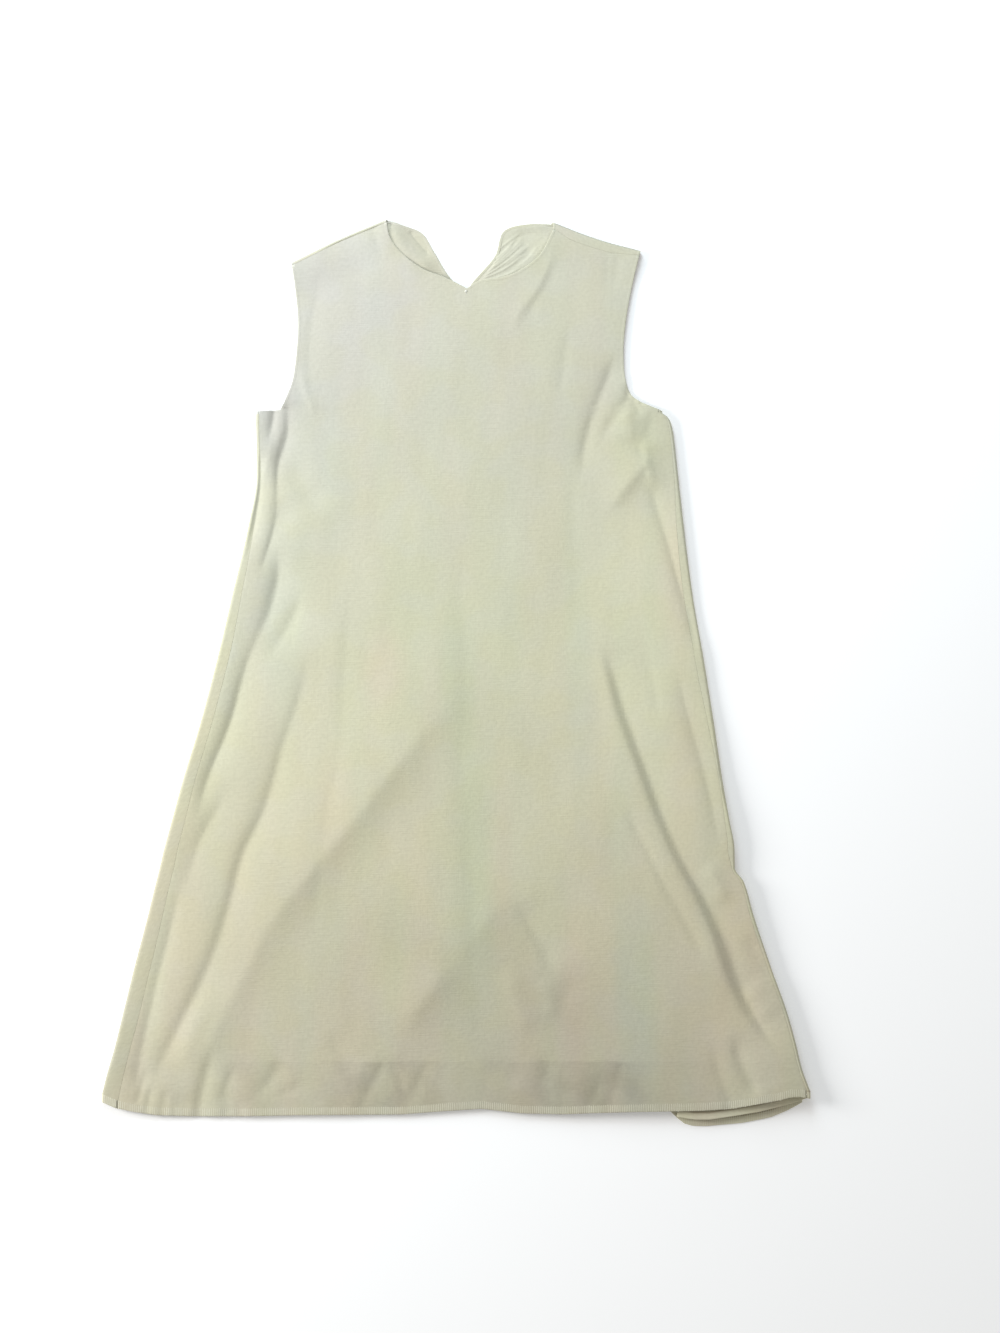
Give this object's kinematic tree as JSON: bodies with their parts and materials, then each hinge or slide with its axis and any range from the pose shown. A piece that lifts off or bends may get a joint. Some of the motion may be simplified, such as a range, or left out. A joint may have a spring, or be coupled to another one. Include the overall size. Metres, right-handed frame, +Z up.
{
  "type": "shift dress laid flat",
  "caption": "Sleeveless A-line shift dress laid flat, front up, with a notched round neck over a slit back neck.",
  "frame": {"origin": "centre of the bounding box on the plane of its underside, where the dress lies on a surface", "axes": "+X across the dress to the viewer's right, +Y from the hem to the shoulders, +Z up out of the surface and the front"},
  "size_m": [0.7282, 0.9692, 0.0124],
  "materials": {
    "front_cloth": "pale sage crepe with a soft sheen",
    "back_cloth": "pale sage crepe with a soft sheen",
    "binding": "rolled edge of the same crepe",
    "hem": "overlocked edge of the same crepe",
    "bead": "small off-white bead"
  },
  "bodies": {
    "root": {"front": "front_cloth", "back": "back_cloth", "neck_binding_front": "binding", "neck_binding_back_left": "binding", "neck_binding_back_right": "binding", "armhole_binding_front_left": "binding", "armhole_binding_front_right": "binding", "armhole_binding_back_left": "binding", "armhole_binding_back_right": "binding", "hem_edge_front": "hem", "hem_edge_back": "hem", "notch_bead": "bead"}
  },
  "joints": []
}
